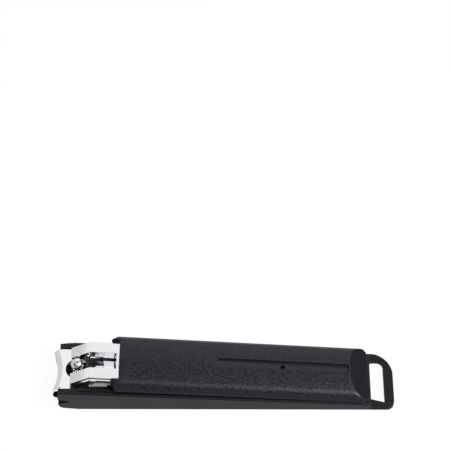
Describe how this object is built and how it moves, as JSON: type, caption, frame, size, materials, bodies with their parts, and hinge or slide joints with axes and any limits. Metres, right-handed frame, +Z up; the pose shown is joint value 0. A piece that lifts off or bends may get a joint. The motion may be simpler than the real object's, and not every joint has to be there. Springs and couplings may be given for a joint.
{
  "type": "nail clipper",
  "caption": "Flat nail clipper in a trough-shaped catcher case, with curved blades, a fork-ended lever that flips over on a swivelling pin, and a strap loop at the rear.",
  "frame": {"origin": "middle of the footprint, on the underside of the case", "axes": "+X from the blades to the strap loop, +Y across the blades, +Z up from the table"},
  "size_m": [0.088, 0.016, 0.0121],
  "materials": {
    "case_plastic": "satin moulded black plastic",
    "cover_plastic": "fine-grained matte black plastic",
    "blade_steel": "polished chrome plate on steel",
    "lever_steel": "satin-polished chrome plate on steel",
    "pin_steel": "polished chrome plate on steel"
  },
  "bodies": {
    "case": {"catcher_case": "case_plastic", "lower_arm": "blade_steel", "arm_rivet": "pin_steel"},
    "upper_blade": {"upper_arm": "blade_steel"},
    "pin": {"lever_pin": "pin_steel"},
    "lever": {"lever_plate": "lever_steel", "lever_cover": "cover_plastic"}
  },
  "joints": [
    {"name": "blade_close", "type": "hinge", "parent": "case", "child": "upper_blade", "pos_m": [0.0249, 0, 0.00222], "axis": [0, -1, 0], "range_deg": [0, 1.1], "stiffness_Nm_per_rad": 0.5},
    {"name": "pin_swivel", "type": "hinge", "parent": "case", "child": "pin", "pos_m": [-0.03745, 0, 0.00855], "axis": [0, 0, 1], "continuous": true},
    {"name": "lever_flip", "type": "hinge", "parent": "pin", "child": "lever", "pos_m": [-0.03745, 0, 0.00855], "axis": [0, -1, 0], "range_deg": [0, 145]}
  ]
}
